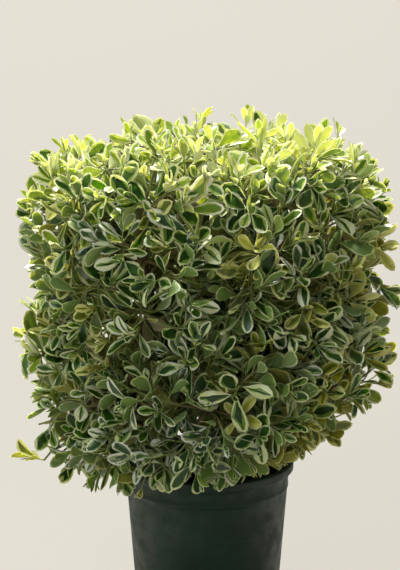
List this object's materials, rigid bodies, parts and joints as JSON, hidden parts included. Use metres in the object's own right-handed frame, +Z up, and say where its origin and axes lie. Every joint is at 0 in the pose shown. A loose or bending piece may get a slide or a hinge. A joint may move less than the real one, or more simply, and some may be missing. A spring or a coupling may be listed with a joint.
{
  "type": "potted variegated spindle shrub",
  "caption": "Bushy evergreen shrub with cream-edged leaves in a round nursery pot, for a patio, a hedge or a garden centre.",
  "frame": {"origin": "middle of the pot's flat underside", "axes": "+Z up along the pot's axis, -Y towards the viewer of the picture"},
  "size_m": [0.6468, 0.629, 0.8899],
  "materials": {
    "pot": "dark green moulded plastic, slightly dusty",
    "soil": "damp potting mix with bark chips",
    "bark": "grey-brown bark with shallow cracks",
    "foliage": "satin leaves, dark green with cream edges"
  },
  "bodies": {
    "root": {"pot": "pot", "soil": "soil", "trunk": "bark", "leader": "bark", "bough_1": "bark", "bough_2": "bark", "bough_3": "bark", "bough_4": "bark", "bough_5": "bark", "side_bough_1": "bark", "side_bough_2": "bark", "side_bough_3": "bark", "side_bough_4": "bark", "side_bough_5": "bark", "foliage_top": "foliage", "foliage_upper_1": "foliage", "foliage_upper_2": "foliage", "foliage_upper_3": "foliage", "foliage_upper_4": "foliage", "foliage_upper_5": "foliage", "foliage_lower_1": "foliage", "foliage_lower_2": "foliage", "foliage_lower_3": "foliage", "foliage_lower_4": "foliage", "foliage_lower_5": "foliage"}
  },
  "joints": []
}
